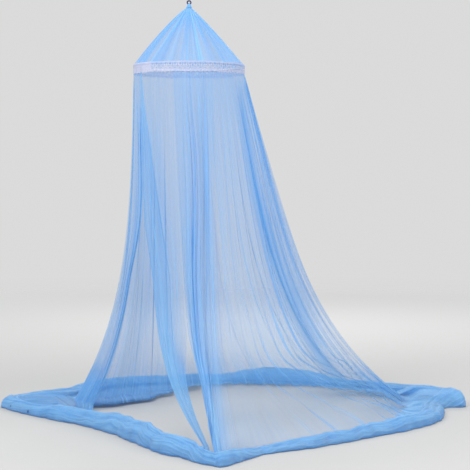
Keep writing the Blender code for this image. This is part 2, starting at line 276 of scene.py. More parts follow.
# %% Crowding on the strip
RIBBON_SHARE = 0.70
RIBBON_FALLS = [0.0, 0.10, 0.20, 0.33, 0.42, 0.50, 0.60, 0.72, 0.85, 1.0]
RIBBON_WIDTHS = [0.08, 0.18, 0.28, 0.40, 0.50, 0.60, 0.70, 0.67, 0.66, 0.85]


def crowd_strip(places, share):
    """Most of the strip's columns in a ribbon at its left edge, which widens on the way down."""
    span = len(STRIP_LINES) - 1
    part = places / span
    ribbon = np.interp(share, RIBBON_FALLS, RIBBON_WIDTHS)
    inside = part / RIBBON_SHARE * ribbon
    beside = ribbon + (part - RIBBON_SHARE) / (1 - RIBBON_SHARE) * (1 - ribbon)
    return span * np.where(part < RIBBON_SHARE, inside, beside)


print("the ribbon holds", RIBBON_SHARE, "of the strip's cloth")

# %% [markdown]
# ## Closing the slits
# Above the point where a slit opens, its two edges are one seam. So near a slit the cloth on each side is
# pulled half of the way across, less and less as the slit opens. The pull fades out by the next line.

# %% Pulled to the slits
def slit_pull(left, right, share, slit):
    """Half of the way from a slit's left edge to its right one, where it is closed."""
    closed = 1 - soft_step((share - slit.opens) / slit.ease)
    edges = [hang({n: np.float64(getattr(line, n)) for n in NUMBERS}, share) for line in (left, right)]
    return closed[..., None] * (edges[1] - edges[0]) / 2


def door_pull(share):
    return slit_pull(BODY_LINES[-1], STRIP_LINES[0], share, DOOR)


def gap_pull(share):
    return slit_pull(STRIP_LINES[-1], BODY_LINES[0], share, SIDE_GAP)


def wall_base(lines, places, share, crowd, pull_first, pull_last):
    """The wall without its folds, its first and last stretches pulled to the slits."""
    share = share[:, None]
    place = crowd(places, share)
    points = hang(numbers_at(lines, place), share)
    near_first = np.maximum(0, 1 - place)
    near_last = np.maximum(0, place - (len(lines) - 2))
    for near, pull in ((near_first, pull_first), (near_last, pull_last)):
        points += (near**2)[..., None] * pull(share)
    return place, points


half_open = np.linalg.norm(door_pull(np.array([0.5])))
print("half way down, the door's edges are pulled together by", short(2 * half_open), "m")

# %% [markdown]
# ## The walls before their folds
# The rows of mesh lie closer together towards the ground, where the cloth curves most.

# %% The plain walls
WALL_ROWS, ROWS_CROWD_DOWN = 58, 1.25
shares = 1 - (1 - np.linspace(0, 1, WALL_ROWS)) ** ROWS_CROWD_DOWN
body_place, body_base = wall_base(
    BODY_LINES, body_places, shares, crowd_body, lambda share: -gap_pull(share), door_pull
)
strip_place, strip_base = wall_base(
    STRIP_LINES, strip_places, shares, crowd_strip, lambda share: -door_pull(share), gap_pull
)
print("wall rows:", len(shares))

# %% [markdown]
# ## Creases
# At a crease the net laps over itself: a narrow strip turns back and forward again, and three layers read
# as a bright line from any side. Each row says by which line a crease runs at the hoop, half way and at the
# ground, where it starts and is full, how wide it is at top and foot, how far it laps and stands out, and
# how many more layers are caught up in it. The widest is the band down the back of the right side.

# %% The creases
Crease = namedtuple("Crease", "name top middle foot starts full wide_top wide_foot lap rise dense")
BODY_CREASES = table(
    Crease,
    ("bundle seam a", 0.5, 0.42, 0.3, 0, 0.03, 0.003, 0.004, 1.6, 0.003, 3.5),
    ("bundle seam b", 0.87, 0.8, 0.7, 0, 0.03, 0.003, 0.004, 1.6, 0.003, 3.5),
    ("bundle body", 0.45, 0.33, 0.4, 0.2, 0.55, 0.02, 0.034, 0.4, 0.006, 1.8),
    ("bundle a", 0.3, 0.2, 0.15, 0.15, 0.35, 0.003, 0.004, 1.6, 0.004, 2),
    ("bundle b", 0.72, 0.9, 0.55, 0.2, 0.35, 0.003, 0.004, 1.6, 0.004, 1.5),
    ("bundle c", 0.95, 0.6, 0.9, 0.25, 0.4, 0.003, 0.004, 1.6, 0.004, 1.5),
    ("sheer a", 1.5, 1.45, 1.4, 0.35, 0.6, 0.002, 0.003, 1.2, 0.002, 1.2),
    ("sheer b", 2.4, 2.35, 2.4, 0.55, 0.8, 0.002, 0.003, 1.2, 0.002, 1.4),
    ("sheer c", 2.62, 2.6, 2.65, 0.6, 0.85, 0.002, 0.004, 1.4, 0.003, 3),
    ("arc a", 2.9, 2.9, 2.95, 0.65, 0.85, 0.002, 0.005, 1.4, 0.003, 3.5),
    ("arc b", 3.3, 3.3, 3.4, 0.62, 0.82, 0.002, 0.006, 1.4, 0.003, 5),
    ("arc f", 3.52, 3.52, 3.58, 0.58, 0.8, 0.002, 0.005, 1.4, 0.003, 5),
    ("arc c", 3.75, 3.8, 3.8, 0.45, 0.75, 0.002, 0.006, 1.6, 0.004, 5.5),
    ("arc d", 4, 4, 4.05, 0.3, 0.6, 0.002, 0.006, 1.6, 0.005, 5.5),
    ("arc e", 4.22, 4.2, 4.32, 0.5, 0.75, 0.002, 0.005, 1.6, 0.004, 4),
    ("front line a", 4.75, 4.75, 4.8, 0.1, 0.4, 0.002, 0.004, 1.6, 0.003, 2),
    ("front line b", 5.3, 5.25, 5.3, 0.05, 0.3, 0.002, 0.005, 1.6, 0.003, 2.5),
    ("right line a", 6.2, 6.1, 6.4, 0.02, 0.2, 0.003, 0.005, 2, 0.005, 2),
    ("right line b", 7.1, 6.9, 7.1, 0.02, 0.25, 0.003, 0.005, 2, 0.005, 1.5),
    ("right band", 8.93, 9.02, 9.22, 0, 0.12, 0.04, 0.085, 0.3, 0.01, 4),
    ("right band outer edge", 8.64, 8.72, 8.9, 0, 0.15, 0.003, 0.006, 2, 0.005, 2),
    ("right band inner edge", 9.23, 9.33, 9.55, 0, 0.15, 0.003, 0.006, 2, 0.005, 2),
    ("back line b", 9.7, 9.75, 9.6, 0.1, 0.45, 0.003, 0.005, 1.8, 0.005, 1),
    ("back line c", 11.2, 11.25, 11.2, 0.15, 0.5, 0.003, 0.005, 1.6, 0.004, 1),
    ("back line d", 12.6, 12.6, 12.5, 0.1, 0.5, 0.003, 0.005, 1.6, 0.004, 1),
    ("back line e", 14.1, 14.15, 14.2, 0.35, 0.6, 0.002, 0.004, 1.6, 0.003, 2.5),
    ("back line f", 14.4, 14.35, 14.4, 0.4, 0.6, 0.002, 0.004, 1.6, 0.003, 2.5),
    ("back line g", 14.6, 14.55, 14.5, 0.35, 0.55, 0.002, 0.004, 1.6, 0.003, 2),
    ("left line a", 15, 14.95, 15.05, 0.1, 0.45, 0.003, 0.005, 1.8, 0.005, 1.5),
)
STRIP_CREASES = table(
    Crease,
    ("ribbon left", 0.14, 0.1, 0.1, 0.05, 0.25, 0.002, 0.004, 1.6, 0.004, 2),
    ("ribbon middle", 0.6, 0.7, 0.6, 0.3, 0.6, 0.003, 0.008, 1.4, 0.004, 0.4),
    ("ribbon right", 1.36, 1.38, 1.38, 0.05, 0.25, 0.002, 0.004, 1.6, 0.004, 2),
)
print(len(BODY_CREASES), "creases round the body,", len(STRIP_CREASES), "on the strip")

# %% [markdown]
# ## Directions on a wall
# Every fold moves a point along the wall, out from the wall, or both, so the wall's own directions come
# first.

# %% Directions on a wall
def running(steps):
    """A running total down the first axis, which starts at 0."""
    return np.concatenate([np.zeros((1, *steps.shape[1:])), np.cumsum(steps, axis=0)])


def directions(points):
    """Unit vectors along a wall and out from it, and the length along it."""
    along = np.gradient(points, axis=1)
    along[..., 2] = 0
    size = np.linalg.norm(along, axis=-1, keepdims=True)
    along = along / np.maximum(size, 1e-9)
    out = np.stack([along[..., 1], -along[..., 0], np.zeros(along.shape[:2])], -1)
    steps = np.linalg.norm(np.diff(points[..., :2], axis=1), axis=-1)
    return along, out, running(steps.T).T


def crease_centre(crease, share):
    """The column that a crease runs down at each share, on a curve through its three places."""
    a, b, c = crease.top, crease.middle, crease.foot
    return a + (b - a) * 2 * share + 2 * (c - 2 * b + a) * share * (share - 0.5)


print("the body's foot is", short(directions(body_base)[2][-1, -1]), "m round")

# %% [markdown]
# ## Waves and pleats
# Broad waves are the ones that CAD has. Finer ones ride on them, and small pleats show below the hoop, in
# patches and mostly at the sides. All of them fade out at the slits.

# %% Waves and pleats
PLEATS_ROUND, PLEAT_DEPTH = 96, 0.0010
FINER_SHARE, WAVES_LEAN = 0.16, 0.004
wave_count = np.cumsum([0.0, *(line.waves for line in BODY_LINES[:-1])])


def body_waves(place, share):
    """How far the waves and pleats move each point of the body out."""
    numbers = numbers_at(BODY_LINES, place)
    turns = np.interp(place, np.arange(len(BODY_LINES)), wave_count)
    turn, lean = turns / wave_count[-1], WAVES_LEAN * share
    broad = numbers["depth"] * soft_step(2 * share) * np.sin(math.tau * turns)
    finer = FINER_SHARE * numbers["depth"] * ripple(turn, (47, 61, 83), 5, lean) * soft_step(3 * share)
    pleats = ripple(turn, (PLEATS_ROUND - 17, PLEATS_ROUND, PLEATS_ROUND + 23), 6, lean)
    patchy = np.clip(0.55 + 0.6 * ripple(turn, (5, 9, 14), 8, 0.02 * share), 0.15, 1.4)
    sideways = patchy + 1.8 * np.abs(np.cos(np.radians(numbers["hoop_deg"]))) ** 3
    pleats = PLEAT_DEPTH * sideways * pleats * (1 - 0.5 * share) * soft_step(share / 0.04)
    edge = np.clip(place * 3, 0, 1) * np.clip((len(BODY_LINES) - 1 - place) * 3, 0, 1)
    return edge * (broad + finer + pleats)


body_out = body_waves(body_place, shares[:, None])
print("the waves and pleats reach", short(body_out.max()), "m out")

# %% [markdown]
# ## Loose loops
# Where much cloth hangs in a narrow place (the bundle, the band at the door's left edge, the strip's
# ribbon) it folds back and forth in loose, uneven loops.

# %% Loose loops
Loops = namedtuple("Loops", "first last count deep lap uneven")
BODY_LOOPS = table(Loops, (0.0, 1.0, 5, 0.009, 0.0040, 0.45), (16.0, 17.0, 4, 0.008, 0.0040, 0.25))
STRIP_LOOPS = table(Loops, (0.0, 1.4, 3, 0.003, 0.0008, 0.30))


def loop_moves(loops, columns, share):
    """How far the columns from first to last move along the wall, and out from it."""
    part = np.clip((columns - loops.first) / (loops.last - loops.first), 0, 1)
    phase = math.tau * (loops.count * part + loops.uneven * np.sin(math.tau * 1.7 * part + 1.0))
    phase = phase + 0.6 * np.sin(5 * share + 3 * part)
    size = soft_step(part * 9) * soft_step((1 - part) * 9) * (1 + 0.35 * np.sin(math.tau * 2.3 * part + 2.0))
    size = size * soft_step(share / 0.22) * (1 - 0.35 * share)
    return size * loops.lap * np.sin(2 * phase), size * loops.deep * np.sin(phase)


print(sum(loops.count for loops in BODY_LOOPS + STRIP_LOOPS), "loose loops")

# %% [markdown]
# ## Putting the folds on
# A crease laps the cloth over in a narrow strip and lifts it a little. It grows from where it starts to
# where it is full, and wanders slightly. Its extra layers are only counted, for the material.

# %% Putting the folds on
def crease_moves(crease, share, wander, columns, run):
    """What a crease does to one row: its moves along the wall and out, and the layers that it adds."""
    strength = soft_step((share - crease.starts) / (crease.full - crease.starts))
    wide = crease.wide_top + (crease.wide_foot - crease.wide_top) * share
    x = (run - np.interp(crease_centre(crease, share), columns, run)) / wide - wander
    lap, rise = crease.lap * wide * x * np.exp(-x * x), crease.rise * x * np.exp(-x * x / 2)
    return -strength * lap, strength * rise, strength * crease.dense * np.exp(-(x**4))


def fold_wall(columns, base, move_out, creases, loops):
    """A wall with all its folds, and the layers that the creases add."""
    along, out, run = directions(base)
    moves = np.stack([np.zeros(move_out.shape), move_out, np.zeros(move_out.shape)])
    for number, crease in enumerate(creases):
        for row, share in enumerate(shares):
            wander = 0.4 * math.sin(7 * share + 2.3 * number)
            moves[:, row] += crease_moves(crease, share, wander, columns, run[row])
    for loop in loops:
        moves[:2] += loop_moves(loop, columns, shares[:, None])
    move_along, move_out, layers = moves
    return base + along * move_along[..., None] + out * move_out[..., None], layers


strip_out = np.zeros(strip_place.shape)
body_wall, body_layers = fold_wall(body_places, body_base, body_out, BODY_CREASES, BODY_LOOPS)
strip_wall, strip_layers = fold_wall(strip_places, strip_base, strip_out, STRIP_CREASES, STRIP_LOOPS)
print("the folds move points by up to", short(np.abs(body_wall - body_base).max()), "m")

# %% [markdown]
# ## How bunched the cloth is
# The count of layers is the flat width over the width that the cloth has there. It is thinned or thickened
# by a listed factor round the body, grows near the ground, and at the left melts into the heap.

# %% How bunched the cloth is
SHEER = [
    (0, 1), (1, 0.9), (1.4, 0.65), (5, 0.65), (6, 0.5), (7, 0.45), (8.6, 0.5), (8.9, 1),
    (9.3, 1), (9.7, 0.8), (13, 0.95), (14, 1.45), (14.7, 1.3), (15.2, 0.75), (16.2, 0.75),
    (16.5, 1.2), (17, 1.3),
]
NEAR_GROUND = 0.86
MELTED = 8.0


def gathered(lines, places, base, spread, layers):
    """How bunched a wall's cloth is. spread multiplies its own ratio, below the hoop."""
    share = shares[:, None]
    width = np.linalg.norm(np.gradient(base[..., :2], axis=1), axis=-1)
    ratio = np.clip(sewn_width(lines, places) * fullness_at(share) / np.maximum(width, 1e-6), 0.85, 9.0)
    ratio = ratio * (1 + (spread - 1) * soft_step((share - 0.05) / 0.35))
    more = np.maximum(numbers_at(lines, places)["lying"] - ratio, 0)
    return ratio + 0.45 * more * soft_step((share - NEAR_GROUND) / (1 - NEAR_GROUND)) + layers


body_spread = np.interp(body_places, *zip(*SHEER))
body_gather = gathered(BODY_LINES, body_places, body_base, body_spread, body_layers)
strip_gather = gathered(STRIP_LINES, strip_places, strip_base, 1.0, strip_layers)
# Partly painted light: at the left foot of the wall the gather is raised to the heap's, so this upright
# cloth is denser and is also painted as bright as the cloth lying on the ground.
melts = soft_step((body_places - 15.0) / 0.8) * soft_step((shares[:, None] - NEAR_GROUND) / 0.11)
body_gather = body_gather + (MELTED - body_gather) * 0.9 * melts
print("bunched from", short(body_gather.min()), "to", short(body_gather.max()))

# %% [markdown]
# ## Meshing a sheet
# Blender's grid operator makes the faces, row by row, and its vertices are put on the worked-out points.
# Each carries its place on the flat cloth, as a UV map in metres, and how bunched the cloth is, as an
# attribute named gather.

# %% Meshing a sheet
def pairs(across, down):
    return np.stack(np.broadcast_arrays(across, down), -1)


def round_grid(columns, rows):
    """The way round as a row of numbers from 0 to 1, and the way down as a column."""
    return np.linspace(0, 1, columns + 1)[None, :], np.linspace(0, 1, rows)[:, None]


def round_points(radius, angle, height):
    """Points round the axis, closed where they meet."""
    points = np.stack(np.broadcast_arrays(radius * np.cos(angle), radius * np.sin(angle), height), -1)
    points[:, -1] = points[:, 0]
    return points


def cloth_grid(bm, points, cloth, gather):
    """A grid of faces on points (rows, columns, xyz), with its UV map and its gather attribute."""
    rows, columns = points.shape[:2]
    uv_layer = bm.loops.layers.uv.get("cloth") or bm.loops.layers.uv.new("cloth")
    gather_layer = bm.verts.layers.float.get("gather") or bm.verts.layers.float.new("gather")
    made = bmesh.ops.create_grid(bm, x_segments=columns - 1, y_segments=rows - 1, size=1)["verts"]
    flat_cloth = cloth.reshape(-1, 2)
    spot = {}
    for i, (vert, point, value) in enumerate(zip(made, points.reshape(-1, 3), gather.reshape(-1))):
        vert.co = point
        vert[gather_layer] = value
        spot[vert] = i
    faces = list({face for vert in made for face in vert.link_faces})
    for face in faces:
        for loop in face.loops:
            loop[uv_layer].uv = flat_cloth[spot[loop.vert]]
    bmesh.ops.reverse_faces(bm, faces=faces)


def sewn(merge, *grids):
    """A new mesh of one or more grids, joined where their points are less than merge apart."""
    bm = bmesh.new()
    for grid in grids:
        cloth_grid(bm, *grid)
    bmesh.ops.remove_doubles(bm, verts=bm.verts, dist=merge)
    return bm


def placed(name, data):
    """A new object in the scene, for a mesh, a lamp or a camera."""
    made = bpy.data.objects.new(name, data)
    bpy.context.scene.collection.objects.link(made)
    return made


def object_of(name, bm, finish):
    mesh = bpy.data.meshes.new(name)
    bm.to_mesh(mesh)
    bm.free()
    mesh.materials.append(finish)
    return placed(name, mesh)


def piece(name, bm, finish, body="root"):
    """A finished object at the origin and the body it rides on."""
    made = object_of(name, bm, finish)
    made.data.shade_smooth()
    made.data.set_sharp_from_angle(angle=math.pi)
    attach(made, body)
    print(name, len(made.data.polygons), "faces")
    return made


# %% [markdown]
# ## Building node materials
# Small helpers make one node each. An input is either a value to set or another node's output to link, and
# a node goes into the tree of the outputs that it is linked to.

# %% Node helpers
def new_material(name):
    made = bpy.data.materials.new(name)
    made.use_nodes = True
    made.node_tree.nodes.clear()
    return made


def is_output(value):
    return isinstance(value, bpy.types.NodeSocket)


def feed(socket, value):
    if is_output(value):
        socket.id_data.links.new(value, socket)
    else:
        socket.default_value = value


def node(kind, inputs=(), made=None, **settings):
    """Add one node. inputs maps an input's name or number to a value or an output."""
    given = dict(inputs)
    tree = made.node_tree if made else next(value.id_data for value in given.values() if is_output(value))
    new = tree.nodes.new("ShaderNode" + kind)
    for name, value in settings.items():
        setattr(new, name, value)
    for key, value in given.items():
        feed(new.inputs[key], value)
    return new


def result(kind, inputs=(), **settings):
    return node(kind, inputs, **settings).outputs[0]


def maths(operation, a, b=0.0, clamp=False):
    return result("Math", {0: a, 1: b}, operation=operation, use_clamp=clamp)


def times(a, b):
    return maths("MULTIPLY", a, b)


def plus(a, b):
    return maths("ADD", a, b)


def minus(a, b):
    return maths("SUBTRACT", a, b)


def remap(value, low, high, new_low, new_high):
    given = {"Value": value, "From Min": low, "From Max": high, "To Min": new_low, "To Max": new_high}
    return result("MapRange", given)


def noise(vector, scale, detail, **more):
    given = {"Vector": vector, "Scale": scale, "Detail": detail, **more}
    return result("TexNoise", given)


def streaky(cloth, across, down, detail, **more):
    """Noise drawn out along the cloth, at so many streaks to a metre across it and down it."""
    drawn = result("Mapping", {"Vector": cloth, "Scale": (across, down, 1.0)})
    return noise(drawn, 1.0, detail, Roughness=0.6, **more)


def bumps(height, strength, distance):
    given = {"Strength": strength, "Distance": distance, "Height": height}
    return result("Bump", given)


def colour_mix(factor, a, b):
    new = node("Mix", {"Factor": factor}, data_type="RGBA")
    for socket, value in zip([s for s in new.inputs if s.type == "RGBA"], (a, b)):
        feed(socket, value if is_output(value) else (*value, 1.0))
    return [s for s in new.outputs if s.type == "RGBA"][0]


# %% [markdown]
# ## Sheer cloth
# Net and lace share one build. Where yarn covers, light is partly thrown back and partly glows through from
# behind, and where it doesn't, everything shows through.

# %% Sheer cloth
def cloth_inputs(made):
    """Where a point is on the flat cloth, and how bunched the cloth is there."""
    cloth = result("UVMap", made=made, uv_map="cloth")
    return cloth, node("Attribute", made=made, attribute_name="gather").outputs["Fac"]


def sheer_cloth(made, colour, covered, glow, skin):
    """The cloth's shaders. glow is how much light comes from behind, skin the front's settings."""
    front = result("BsdfPrincipled", {"Base Color": colour, **skin})
    behind = result("BsdfTranslucent", {"Color": colour})
    yarn = result("MixShader", {"Fac": glow, 1: front, 2: behind})
    clear = result("BsdfTransparent", made=made)
    mixed = result("MixShader", {"Fac": covered, 1: clear, 2: yarn})
    node("OutputMaterial", {"Surface": mixed})
    return made


# %% [markdown]
# ## The net
# One flat layer of knitted polyester net covers about a fifth of what is behind it. Where cloth is bunched,
# the open share is multiplied layer by layer. Streaks run down the cloth where it is pleated too finely for
# the mesh, a diamond of threads crosses it, and heaped cloth is crumpled. Its colour carries painted light
# and shade: paler where the cloth is bunched, and lighter and darker along the streaks and crumples.

# %% The net's numbers
# Painted light: the first colour is the yarn as lit, the second a painted shaded copy of it.
NET_LIT_YARN = (0.235, 0.525, 0.860)
NET_SHADE = (0.120, 0.370, 0.760)
NET_COVER, NET_GLOW = 0.185, 0.38
NET_SOFT = 0.25
THREAD_REPEAT = 0.0034
SPECK_COLOUR = (0.008, 0.060, 0.280)
Speck = namedtuple("Speck", "centre size strength")
SPECKS = table(
    Speck,
    ((-0.986, 0.032, -2.215), 0.0058, 0.70),
    ((-0.875, -0.105, -2.222), 0.0078, 1.00),
)
print("one layer of net covers", NET_COVER, "and its threads are", THREAD_REPEAT * 1000, "mm apart")

# %% [markdown]
# ## The net's material
# The count of layers, multiplied by the streaks and the threads, gives the cover. The colour is painted
# light and shade: brighter where the cloth is bunched and deeper where it is sheer, and lighter and darker
# along the streaks and crumples, with their bumps. Two small dark marks lie near the left end of the hem.

# %% The net's material
def net_threads(cloth):
    """A diamond of threads, as a factor on the layers."""
    given = {"Vector": cloth, "Rotation": (0, 0, math.radians(45)), "Scale": (1 / THREAD_REPEAT,) * 3}
    split = node("SeparateXYZ", {"Vector": result("Mapping", given)})
    away = [maths("PINGPONG", split.outputs[axis], 0.5) for axis in ("X", "Y")]
    return remap(maths("MINIMUM", *away), 0.05, 0.22, 1.55, 0.75)


def add_specks(made, specks, colour, covered):
    """Small dark marks on the cloth, each a soft disc round its centre."""
    place = node("TexCoord", made=made).outputs["Object"]
    for speck in specks:
        away = node("VectorMath", {0: place, 1: speck.centre}, operation="DISTANCE")
        marked = remap(away.outputs["Value"], 0.6 * speck.size, 1.4 * speck.size, speck.strength, 0.0)
        colour = colour_mix(marked, colour, SPECK_COLOUR)
        covered = maths("MAXIMUM", covered, marked)
    return colour, covered


def net_material(name, streaks_across, sharp, specks=()):
    made = new_material(name)
    cloth, gather = cloth_inputs(made)
    long = streaky(cloth, streaks_across, 1.3, 4.0)
    broad = streaky(cloth, 7.0, 0.9, 2.0)
    line = streaky(cloth, 34.0, 0.55, 1.0)
    soft = remap(long, 0.30, 0.72, 1 - NET_SOFT, 1 + NET_SOFT)
    streaks = times(soft, remap(broad, 0.3, 0.7, 0.8, 1.25))
    streaks = plus(streaks, remap(line, 0.64, 0.72, 0.0, sharp))
    layers = times(times(gather, streaks), net_threads(cloth))
    covered = maths("SUBTRACT", 1.0, maths("POWER", 1.0 - NET_COVER, layers), clamp=True)

    # Painted shade and highlight: the streaks, and the crumples of heaped cloth, are painted lighter and
    # darker along with their bumps.
    crumpled = streaky(cloth, 34.0, 9.0, 3.0, Distortion=0.6)
    heaped = remap(gather, 6.0, 8.0, 0.0, 1.0)
    crumple_bumps_and_shade = times(heaped, minus(crumpled, 0.5))
    streak_light_and_shade = plus(times(line, 0.6), times(broad, 0.4))
    # Painted light: bunched cloth is painted brighter and sheer cloth deeper, on top of its cover.
    bunched = remap(gather, 4.5, 9.0, -0.20, 0.46)
    painted_light = plus(remap(streak_light_and_shade, 0.38, 0.62, 0.0, 0.75), bunched)
    painted_light = maths("ADD", painted_light, times(crumple_bumps_and_shade, 1.6), clamp=True)
    colour = colour_mix(painted_light, NET_SHADE, NET_LIT_YARN)
    colour, covered = add_specks(made, specks, colour, covered)

    uneven = plus(long, times(line, 2.0))
    uneven = plus(uneven, times(crumple_bumps_and_shade, 3.0))
    skin = {"Roughness": 0.62, "Sheen Weight": 0.25, "Sheen Roughness": 0.4}
    skin["Normal"] = bumps(uneven, 0.60, 0.005)
    return sheer_cloth(made, colour, covered, NET_GLOW, skin)


skirt_finish = net_material("blue skirt net", 150.0, 1.4, SPECKS)
cone_finish = net_material("blue cone net", 130.0, 0.6)
print("net materials made, with", len(SPECKS), "small marks on the skirt's hem")

# %% [markdown]
# ## The cloth on the ground
# From the foot of the wall the cloth runs out over the ground to a bunched hem. A closed ring carries the
# walls' feet and the slits' sills out to it. At the two far corners the cloth converges and is heaped.

# %% Round the hem
ring_lines = [*BODY_LINES, *DOOR_HEM_LINES, *STRIP_LINES, BODY_LINES[0]]
door_lines = [BODY_LINES[-1], *DOOR_HEM_LINES, STRIP_LINES[0]]
gap_lines = [STRIP_LINES[-1], BODY_LINES[0]]
door_start, strip_start = len(BODY_LINES) - 1, len(BODY_LINES) + len(DOOR_HEM_LINES)
runs = [
    (0, BODY_LINES, body_place[-1]),
    (door_start, door_lines, places_along(door_lines)[1:-1]),
    (strip_start, STRIP_LINES, strip_place[-1]),
    (len(ring_lines) - 2, gap_lines, places_along(gap_lines)[1:-1]),
]
feet = [numbers_at(lines, places) for start, lines, places in runs]
ring_places = np.concatenate([start + places for start, lines, places in runs])
Corner = namedtuple("Corner", "name place reach power heaped")
CORNERS = table(Corner, ("left tip", 16.0, 2.6, 1.8, 1.6), ("right corner", 7.6, 2.8, 1.8, 2.0))


def drawn_to_corners(places):
    """Places at the hem, drawn towards the corners where cloth converges."""
    moved = places.copy()
    for corner in CORNERS:
        away = (places - corner.place) / corner.reach
        near = np.abs(away) < 1
        moved[near] = corner.place + corner.reach * np.sign(away[near]) * np.abs(away[near]) ** corner.power
    return moved


hem_numbers = numbers_at(ring_lines, drawn_to_corners(ring_places))
foot = np.stack([np.concatenate([part[name] for part in feet]) for name in ("foot_x", "foot_y")], -1)
hem = np.stack([hem_numbers["hem_x"], hem_numbers["hem_y"]], -1)
print("columns round the ground:", len(ring_places))

# %% [markdown]
# ## The sills
# Under the door and the gap the cloth isn't hung from anything. Its inner edge, the sill, drops to the
# ground near each end and lies on it between.

# %% Sills and the inner edge
CLOTH_LIFT, SILL_GATHER = 0.004, 5.0


def sill(part):
    """The points of a sill, from the numbers of its columns."""
    way = np.linspace(0, 1, len(part["foot_x"]) + 2)[1:-1]
    drop = np.minimum(soft_step(way * 6), soft_step((1 - way) * 6))
    return np.stack([part["foot_x"], part["foot_y"], FOOT + (GROUND + CLOTH_LIFT - FOOT) * drop], -1)


def inner_edge(body, door, strip, gap):
    return np.concatenate([body, door, strip, gap])


door_sill, gap_sill = sill(feet[1]), sill(feet[3])
door_none, gap_none = np.zeros(len(door_sill)), np.zeros(len(gap_sill))
inner = inner_edge(body_wall[-1], door_sill, strip_wall[-1], gap_sill)
unfolded = inner_edge(body_base[-1], door_sill, strip_base[-1], gap_sill)
inner_layers = inner_edge(body_layers[-1], door_none, strip_layers[-1], gap_none)
inner_gather = inner_edge(body_gather[-1], door_none + SILL_GATHER, strip_gather[-1], gap_none + SILL_GATHER)
inner_gather = inner_gather - inner_layers
print("the door's sill has", len(door_sill), "columns, the gap's", len(gap_sill))

# %% [markdown]
# ## The hem's size
# The hem is a low rounded bank, whose size and place ripple as it goes round. It is flatter along the back,
# where more cloth is pooled on the ground inside it.

# %% The hem's size
WIDEST = 0.92
BACK_FLATTER = 0.20
POOLED = 0.20
POOL_WAY = np.array([0.50, -0.87])


def stretch(first, ease_in, last, ease_out):
    """1 along a stretch of the ring, and 0 before its first place and after its last."""
    return soft_step((ring_places - first) / ease_in) * soft_step((last - ring_places) / ease_out)


steps = np.linalg.norm(np.diff(hem, axis=0, append=hem[:1]), axis=-1)
turn = running(steps)[:-1] / steps.sum()
length = np.linalg.norm(hem - foot, axis=-1)
way = (hem - foot) / length[:, None]
length = length + 0.005 * ripple(turn, (23, 37, 61, 97), 11)
heap = np.maximum(*(soft_step(corner.heaped - np.abs(ring_places - corner.place)) for corner in CORNERS))
wide = np.minimum(hem_numbers["roll_wide"] * (1 + 0.08 * ripple(turn, (9, 14, 22), 13)), WIDEST * length)
wide = wide * (1 + 0.05 * (1 - 0.75 * heap) * ripple(turn, (31, 47, 71), 25))
high = hem_numbers["roll_high"] * (1 + 0.06 * ripple(turn, (11, 19, 27), 14))
high = high * (1 - BACK_FLATTER * stretch(13.2, 1.2, 16.3, 0.8))
held_down = stretch(12.4, 1.8, 17.7, 0.8)
start = length - wide
lying = hem_numbers["lying"]
print("the hem is", short(steps.sum()), "m round and up to", short(high.max()), "m high")

# %% [markdown]
# ## From the wall's foot to the hem
# The apron between the wall and the bank sinks to the ground, carries the wall's folds on for a little, and
# is wrinkled. The pooled cloth is a fold in it, held down on both sides.

# %% The apron
APRON_ROWS = 8
POOL_SHARES = [0.0, 0.55, 1.0, 0.45, 0.0, 0.0, 0.0, 0.0]
HELD_ROWS = {2: 0.016, 3: 0.005}


def apron_row(step):
    """One row of the apron, counted from the wall's foot, and how bunched it is."""
    t = step / APRON_ROWS
    folds = (inner - unfolded)[:, :2] * (1 - t) ** 1.5
    pooled = POOLED * POOL_SHARES[step] * held_down[:, None] * POOL_WAY
    flat = foot + way * (start * t)[:, None] + folds + pooled
    lies = 0.006 + 0.003 * ripple(turn, (53, 88, 131), 15, 0.01 * t) + heap * 0.9 * high * soft_step(t * 2)
    z = inner[:, 2] + (GROUND + lies - inner[:, 2]) * soft_step(t * 1.6)
    if step in HELD_ROWS:
        z = z + (GROUND + HELD_ROWS[step] - z) * held_down
    wrinkled = lying * (1 + 0.22 * ripple(turn, (61, 88, 131), 19, 0.02 * t))
    gather = inner_gather + (wrinkled - inner_gather) * soft_step(t * 3.0) + inner_layers * (1 - t) ** 0.5
    return np.concatenate([flat, z[:, None]], -1), gather


aprons = [apron_row(step) for step in range(APRON_ROWS)]
print("the apron has", len(aprons), "rows")

# %% [markdown]
# ## The bunched hem
# The bank goes over and down to the ground and is tucked under. Lengthwise folds drift across it as it goes
# round. At the heaped corners it rises less, because the apron is high.

# %% The bunched hem
ROLL_ROWS, UNDER_ROWS = 18, 2
BROAD_FOLDS, FINE_FOLDS = 2.6, 5.3
TUCKED = 0.25


def hem_row(step):
    """One row of the hem, counted from the apron's end, and how bunched it is."""
    angle = math.pi * min(step / ROLL_ROWS, 1.0)
    over = (1 - math.cos(angle)) / 2
    tuck = max(0, step - ROLL_ROWS) / UNDER_ROWS
    flat = foot + way * (start + wide * over - TUCKED * wide * tuck)[:, None]
    drift = 0.30 * ripple(turn, (3, 5, 8), 16)
    waves = np.sin(math.tau * (BROAD_FOLDS * over + drift))
    folds = (0.15 * waves + 0.08 * np.sin(math.tau * (FINE_FOLDS * over + 2.1 * drift))) * (1 - 0.75 * heap)
    level = 0.9 * heap if over < 0.5 else 0.0
    z = GROUND + CLOTH_LIFT + high * (level + (1 - level) * math.sin(angle) ** 0.9) * (1 + folds)
    # Partly painted shade: the gather, and with it the net's painted brightness, rises on the crests of the
    # lengthwise folds and falls in their troughs, as well as counting layers.
    bunch = 8.5 + 2.0 * waves + ripple(turn, (31, 47, 73), 18)
    gather = bunch + (lying - bunch) * (1 - soft_step(over * 7))
    return np.concatenate([flat, z[:, None]], -1), gather


def closed(rows):
    return np.concatenate([rows, rows[:, :1]], axis=1)


